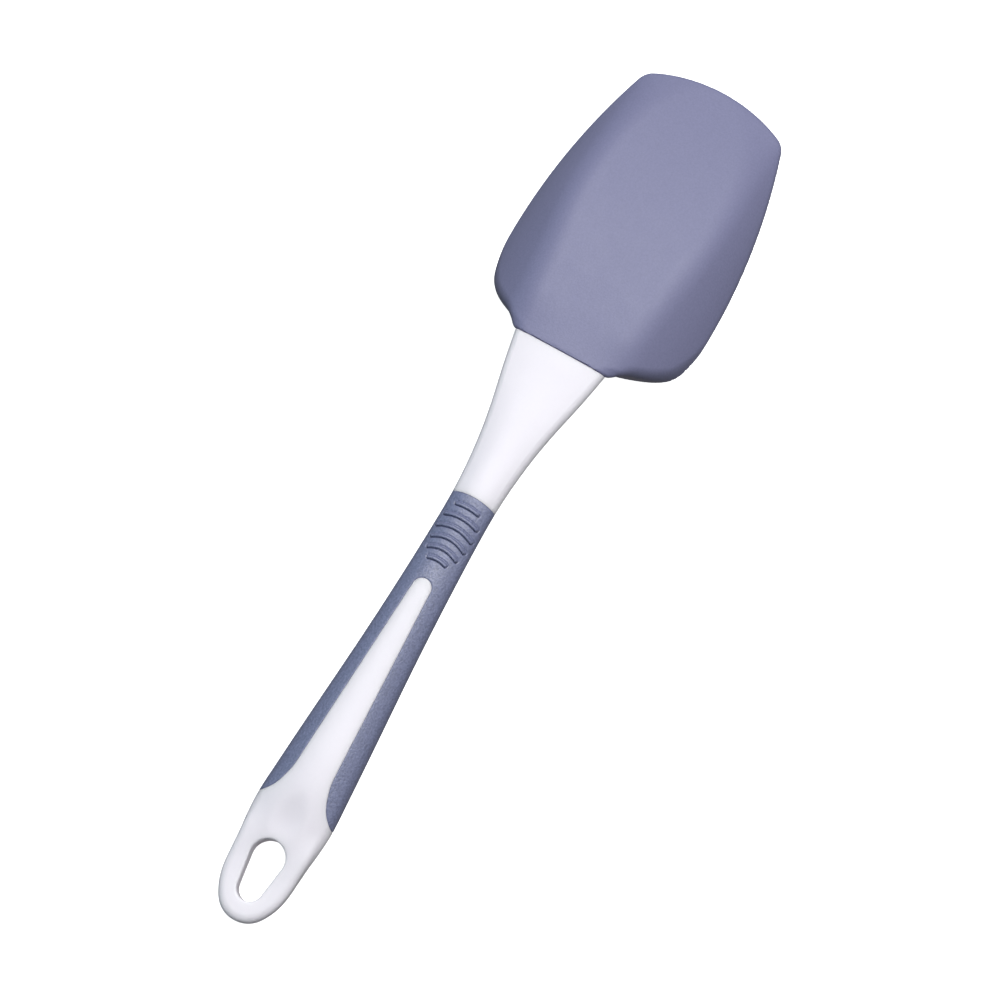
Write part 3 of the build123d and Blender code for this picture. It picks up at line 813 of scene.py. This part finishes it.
def moulded(name, colour, roughness, cloud, grain, speck, bump_height, extra):
    """A moulded material: soft clouds and fine specks in its colour, uneven roughness, a fine grain."""
    material = bpy.data.materials.new(name)
    material.use_nodes = True
    tree = material.node_tree
    shader = tree.nodes["Principled BSDF"]
    place = node_of(tree, "ShaderNodeTexCoord", (-1300, 0))
    clouds = noise(tree, place, CLOUD_SIZE, CLOUD_DETAIL, (-1100, 300))
    grains = noise(tree, place, grain, GRAIN_DETAIL, (-1100, 0))
    smears = noise(tree, place, SMEAR_SIZE, SMEAR_DETAIL, (-1100, -300))
    tone = toned(tree, colour, spread(tree, clouds, 1 - cloud, 1 + cloud, (-900, 300)), (-600, 300))
    tone = toned(tree, tone, spread(tree, grains, 1 - speck, 1 + speck, (-900, 150)), (-400, 200))
    tree.links.new(tone.outputs[0], shader.inputs["Base Color"])
    uneven = spread(tree, smears, roughness - ROUGHNESS_SPREAD, roughness + ROUGHNESS_SPREAD, (-600, -300))
    tree.links.new(uneven.outputs["Result"], shader.inputs["Roughness"])
    bump = node_of(tree, "ShaderNodeBump", (-300, -200))
    bump.inputs["Strength"].default_value = 1.0
    bump.inputs["Distance"].default_value = bump_height
    tree.links.new(grains.outputs["Fac"], bump.inputs["Height"])
    tree.links.new(bump.outputs["Normal"], shader.inputs["Normal"])
    for socket, value in extra.items():
        shader.inputs[socket].default_value = value
    return material


WHITE = (0.845, 0.805, 0.855)
GLOWING_THROUGH = {"Subsurface Weight": 0.6, "Subsurface Radius": (1, 1, 1), "Subsurface Scale": 0.004}
silicone = moulded("silicone", colour=(0.2, 0.2, 0.328), roughness=0.5, cloud=0.006, grain=SILICONE_GRAIN,
                   speck=0.05, bump_height=0.00004, extra={"Specular IOR Level": 0.42})
rubber = moulded("rubber", colour=(0.168, 0.182, 0.3), roughness=0.45, cloud=0.015, grain=RUBBER_GRAIN,
                 speck=0.22, bump_height=0.00018, extra={"Specular IOR Level": 0.95})
nylon = moulded("nylon", colour=WHITE, roughness=0.4, cloud=0.004, grain=PLASTIC_GRAIN,
                speck=0.005, bump_height=0.000003, extra=GLOWING_THROUGH)
plastic = moulded("plastic", colour=WHITE, roughness=0.4, cloud=0.004, grain=PLASTIC_GRAIN,
                  speck=0.005, bump_height=0.000003, extra=GLOWING_THROUGH)
for dressed, material in ((head, silicone), (grip, rubber), (white_body, plastic),
                          (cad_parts["neck_core"], nylon)):
    dressed.data.materials.clear()
    dressed.data.materials.append(material)

# Floor: a pale, faintly glowing table top
FLOOR_REACH = 3.0
FLOOR_GLOW = 1.0
floor_data = bpy.data.meshes.new("floor")
floor_data.from_pydata([(-FLOOR_REACH, -FLOOR_REACH, 0), (FLOOR_REACH, -FLOOR_REACH, 0),
                        (FLOOR_REACH, FLOOR_REACH, 0), (-FLOOR_REACH, FLOOR_REACH, 0)], [], [(0, 1, 2, 3)])
floor = bpy.data.objects.new("floor", floor_data)
bpy.context.scene.collection.objects.link(floor)
floor_data.materials.append(moulded(
    "floor", colour=(0.85, 0.85, 0.85), roughness=0.8, cloud=0.01, grain=FLOOR_GRAIN, speck=0.01,
    bump_height=0.00002, extra={"Emission Color": (1, 1, 1, 1), "Emission Strength": FLOOR_GLOW}))
floor.visible_diffuse = False
floor.visible_glossy = False

# Light: two softboxes over the head's end, a weak one low on each side, and a faint fill, paler from below
FILL_COLOUR = (0.35, 0.8, 1.0, 1)
FILL_STRENGTH = 0.06
BOUNCE_COLOUR = (1.0, 0.95, 0.93, 1)
BOUNCE_STRENGTH = 0.22
BOUNCE_START, BOUNCE_FULL = 0.05, -0.25      # height of a direction, from straight up 1 to straight down -1
SOFTBOX_SIZE = 3.4
SOFTBOX_DISTANCE = 6.0
NEUTRAL = (1.0, 1.0, 1.0)
TEAL = (0.4, 0.85, 1.0)
# Direction, power in watts, colour
SOFTBOXES = [((0.42, 0.2, 1.0), 250, NEUTRAL), ((0.32, -0.35, 1.0), 182, NEUTRAL),
             ((0.1, -1.3, 0.6), 28, NEUTRAL), ((-0.1, 1.3, 0.7), 26, TEAL)]


def softbox(direction, power, colour):
    """A square light that shines on the object from that direction."""
    data = bpy.data.lights.new("softbox", "AREA")
    data.shape = "SQUARE"
    data.size = SOFTBOX_SIZE
    data.energy = power
    data.color = colour
    lamp = bpy.data.objects.new("softbox", data)
    bpy.context.scene.collection.objects.link(lamp)
    direction = Vector(direction).normalized()
    lamp.location = Vector(AIM_POINT) + SOFTBOX_DISTANCE * direction
    lamp.rotation_mode = "QUATERNION"
    lamp.rotation_quaternion = direction.to_track_quat("Z", "Y")


for direction, power, colour in SOFTBOXES:
    softbox(direction, power, colour)
world = bpy.data.worlds.new("world")
bpy.context.scene.world = world
world.use_nodes = True
sky = world.node_tree
fill = sky.nodes["Background"]
direction = node_of(sky, "ShaderNodeTexCoord", (-900, 0))
parts = node_of(sky, "ShaderNodeSeparateXYZ", (-700, 0))
below = node_of(sky, "ShaderNodeMapRange", (-500, 0))
for socket, value in (("From Min", BOUNCE_START), ("From Max", BOUNCE_FULL), ("To Min", 0), ("To Max", 1)):
    below.inputs[socket].default_value = value
mix = node_of(sky, "ShaderNodeMixShader", (-100, 0))
bounce = node_of(sky, "ShaderNodeBackground", (-300, -150))
fill.inputs["Color"].default_value = FILL_COLOUR
fill.inputs["Strength"].default_value = FILL_STRENGTH
bounce.inputs["Color"].default_value = BOUNCE_COLOUR
bounce.inputs["Strength"].default_value = BOUNCE_STRENGTH
sky.links.new(direction.outputs["Generated"], parts.inputs["Vector"])
sky.links.new(parts.outputs["Z"], below.inputs["Value"])
sky.links.new(below.outputs["Result"], mix.inputs["Fac"])
sky.links.new(fill.outputs["Background"], mix.inputs[1])
sky.links.new(bounce.outputs["Background"], mix.inputs[2])
sky.links.new(mix.outputs["Shader"], sky.nodes["World Output"].inputs["Surface"])

bpy.context.scene.view_settings.view_transform = "Standard"
